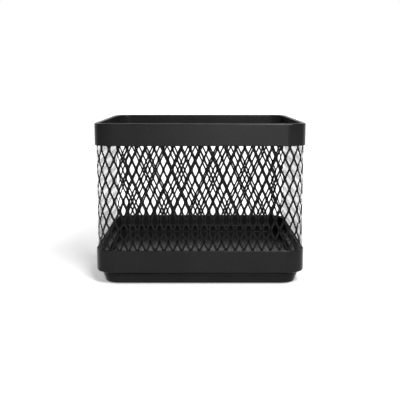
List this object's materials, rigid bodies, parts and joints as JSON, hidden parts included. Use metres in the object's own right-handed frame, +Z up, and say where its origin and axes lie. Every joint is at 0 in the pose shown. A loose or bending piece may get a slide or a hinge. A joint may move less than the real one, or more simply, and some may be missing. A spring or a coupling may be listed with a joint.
{
  "type": "lazy susan organizer",
  "caption": "Square open-top desk bin with expanded-metal mesh walls, a deep plain rim and a sheet tray, turning on a low inset base with a ball bearing.",
  "frame": {"origin": "centre of the plane that the rubber pads stand on", "axes": "+Z up along the turning axis; the front is at -Y and the right side at +X; the bin is stored square to the base"},
  "size_m": [0.152, 0.152, 0.1173],
  "materials": {
    "powder_coat": "matte black powder coat",
    "zinc_plate": "dull zinc plate",
    "ball_steel": "polished",
    "cage_nylon": "moulded nylon",
    "pad_rubber": "matte"
  },
  "bodies": {
    "base": {"base_pan": "powder_coat", "foot_pad_front_left": "pad_rubber", "foot_pad_front_right": "pad_rubber", "foot_pad_back_left": "pad_rubber", "foot_pad_back_right": "pad_rubber", "base_rivets": "zinc_plate", "bearing_lower_plate": "zinc_plate", "bearing_eyelet": "zinc_plate"},
    "ball_ring": {"bearing_balls": "ball_steel", "ball_cage": "cage_nylon"},
    "bin": {"bearing_upper_plate": "zinc_plate", "bearing_nuts": "zinc_plate", "tray_studs": "powder_coat", "tray_pan": "powder_coat", "tray_inner_band": "powder_coat", "rim_channel": "powder_coat", "mesh_front": "powder_coat", "mesh_right": "powder_coat", "mesh_back": "powder_coat", "mesh_left": "powder_coat", "mesh_corner_front_right": "powder_coat", "mesh_corner_back_right": "powder_coat", "mesh_corner_back_left": "powder_coat", "mesh_corner_front_left": "powder_coat"}
  },
  "joints": [
    {"name": "turntable_spin", "type": "hinge", "parent": "base", "child": "bin", "pos_m": [0, 0, 0.00545], "axis": [0, 0, 1], "continuous": true},
    {"name": "ball_ring_spin", "type": "hinge", "parent": "base", "child": "ball_ring", "pos_m": [0, 0, 0.00545], "axis": [0, 0, 1], "continuous": true}
  ],
  "couplings": [
    {"joint": "ball_ring_spin", "follows": "turntable_spin", "ratio": 0.5}
  ]
}
